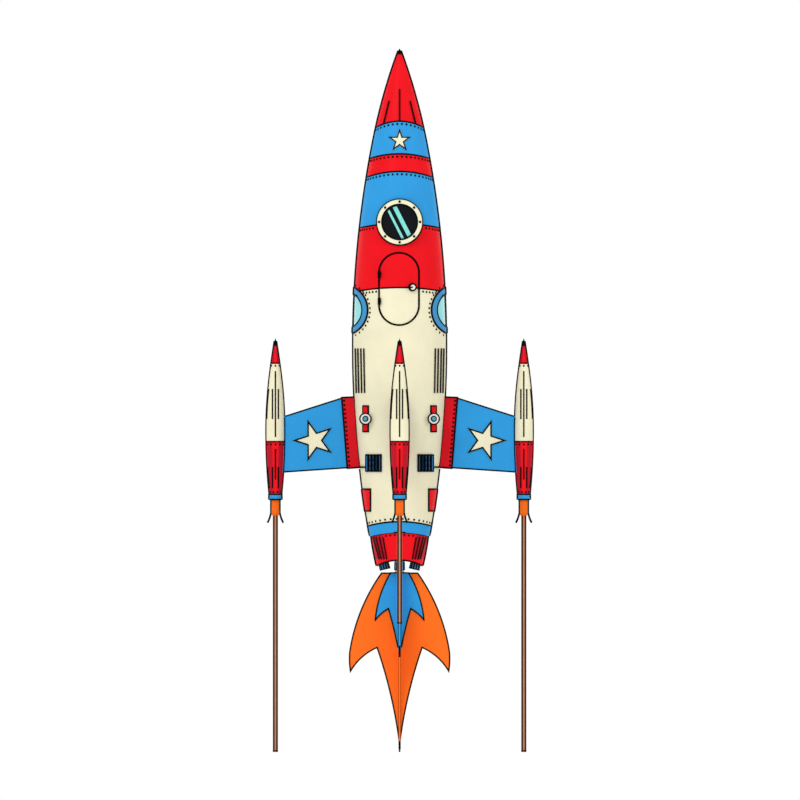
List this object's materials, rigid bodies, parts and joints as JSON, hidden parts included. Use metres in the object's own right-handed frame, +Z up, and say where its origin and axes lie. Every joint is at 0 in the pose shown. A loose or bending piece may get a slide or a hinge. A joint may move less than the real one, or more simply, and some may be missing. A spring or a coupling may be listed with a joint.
{
  "type": "toy rocket",
  "caption": "Tin litho toy rocket that stands on end: banded hull with a hinged hatch, winged pods, sliding landing legs and a flat flame tail.",
  "frame": {"origin": "on the floor under the hull's axis", "axes": "+Z up along the hull, -Y to the front with the hatch, +X to the right seen from the front"},
  "size_m": [0.1336, 0.1336, 0.3512],
  "materials": {
    "red_enamel": "gloss lithographed enamel",
    "blue_enamel": "gloss lithographed enamel",
    "cream_enamel": "gloss lithographed enamel",
    "white_enamel": "gloss enamel",
    "orange_enamel": "gloss lithographed enamel",
    "black_enamel": "gloss enamel",
    "navy_enamel": "satin enamel",
    "tinplate": "bare tinplate",
    "teal_glass": "tinted clear plastic sheet",
    "dark_glass": "printed dark pane",
    "copper": "lacquered copper-coloured wire"
  },
  "bodies": {
    "hull": {"nose_cone": "red_enamel", "star_band": "blue_enamel", "red_band": "red_enamel", "upper_shell": "blue_enamel", "cabin_shell": "red_enamel", "main_shell": "cream_enamel", "tail_ring": "blue_enamel", "tail_skirt": "red_enamel", "tail_bulkhead": "tinplate", "engine_nozzles": "navy_enamel", "flame_plate_wide": "orange_enamel", "flame_plate_deep": "orange_enamel", "flame_cores": "blue_enamel", "stars": "cream_enamel", "porthole_bezel": "cream_enamel", "porthole_glass": "dark_glass", "porthole_screws": "black_enamel", "side_window_frames": "blue_enamel", "side_window_panes": "teal_glass", "hatch_frame": "tinplate", "hatch_hinge_leaves": "black_enamel", "hatch_hinge_pins": "tinplate", "side_louvres": "black_enamel", "lamp_straps": "red_enamel", "lamp_bezels": "white_enamel", "lamp_lenses": "teal_glass", "cooling_grilles": "blue_enamel", "grille_pipes": "black_enamel", "access_panels": "red_enamel", "fin_root_plates": "red_enamel", "fin_rivets": "black_enamel", "left_fin": "blue_enamel", "right_fin": "blue_enamel", "front_fin": "blue_enamel", "rear_fin": "blue_enamel", "left_pod_nose": "red_enamel", "right_pod_nose": "red_enamel", "front_pod_nose": "red_enamel", "rear_pod_nose": "red_enamel", "left_pod_shell": "cream_enamel", "right_pod_shell": "cream_enamel", "front_pod_shell": "cream_enamel", "rear_pod_shell": "cream_enamel", "left_pod_tail": "red_enamel", "right_pod_tail": "red_enamel", "front_pod_tail": "red_enamel", "rear_pod_tail": "red_enamel", "pod_collars": "blue_enamel", "left_pod_exhaust": "orange_enamel", "right_pod_exhaust": "orange_enamel", "front_pod_exhaust": "orange_enamel", "rear_pod_exhaust": "orange_enamel"},
    "hatch": {"hatch_door": "cream_enamel", "hatch_door_knuckles": "black_enamel"},
    "knob": {"hatch_knob": "white_enamel", "hatch_latch": "tinplate"},
    "left_leg_body": {"left_leg": "copper"},
    "right_leg_body": {"right_leg": "copper"},
    "front_leg_body": {"front_leg": "copper"},
    "rear_leg_body": {"rear_leg": "copper"}
  },
  "joints": [
    {"name": "hatch_swing", "type": "hinge", "parent": "hull", "child": "hatch", "pos_m": [-0.0102, -0.02094, 0.23205], "axis": [0, -0.0616, -0.9981], "range_deg": [0, 110]},
    {"name": "hatch_knob_turn", "type": "hinge", "parent": "hatch", "child": "knob", "pos_m": [0.0062, -0.02146, 0.2324], "axis": [0.2776, -0.9607, 0], "range_deg": [0, 180]},
    {"name": "left_leg_slide", "type": "slide", "parent": "hull", "child": "left_leg_body", "axis": [0, 0, 1], "range_m": [0, 0.064]},
    {"name": "right_leg_slide", "type": "slide", "parent": "hull", "child": "right_leg_body", "axis": [0, 0, 1], "range_m": [0, 0.064]},
    {"name": "front_leg_slide", "type": "slide", "parent": "hull", "child": "front_leg_body", "axis": [0, 0, -1], "range_m": [0, 0.064]},
    {"name": "rear_leg_slide", "type": "slide", "parent": "hull", "child": "rear_leg_body", "axis": [0, 0, -1], "range_m": [0, 0.064]}
  ]
}
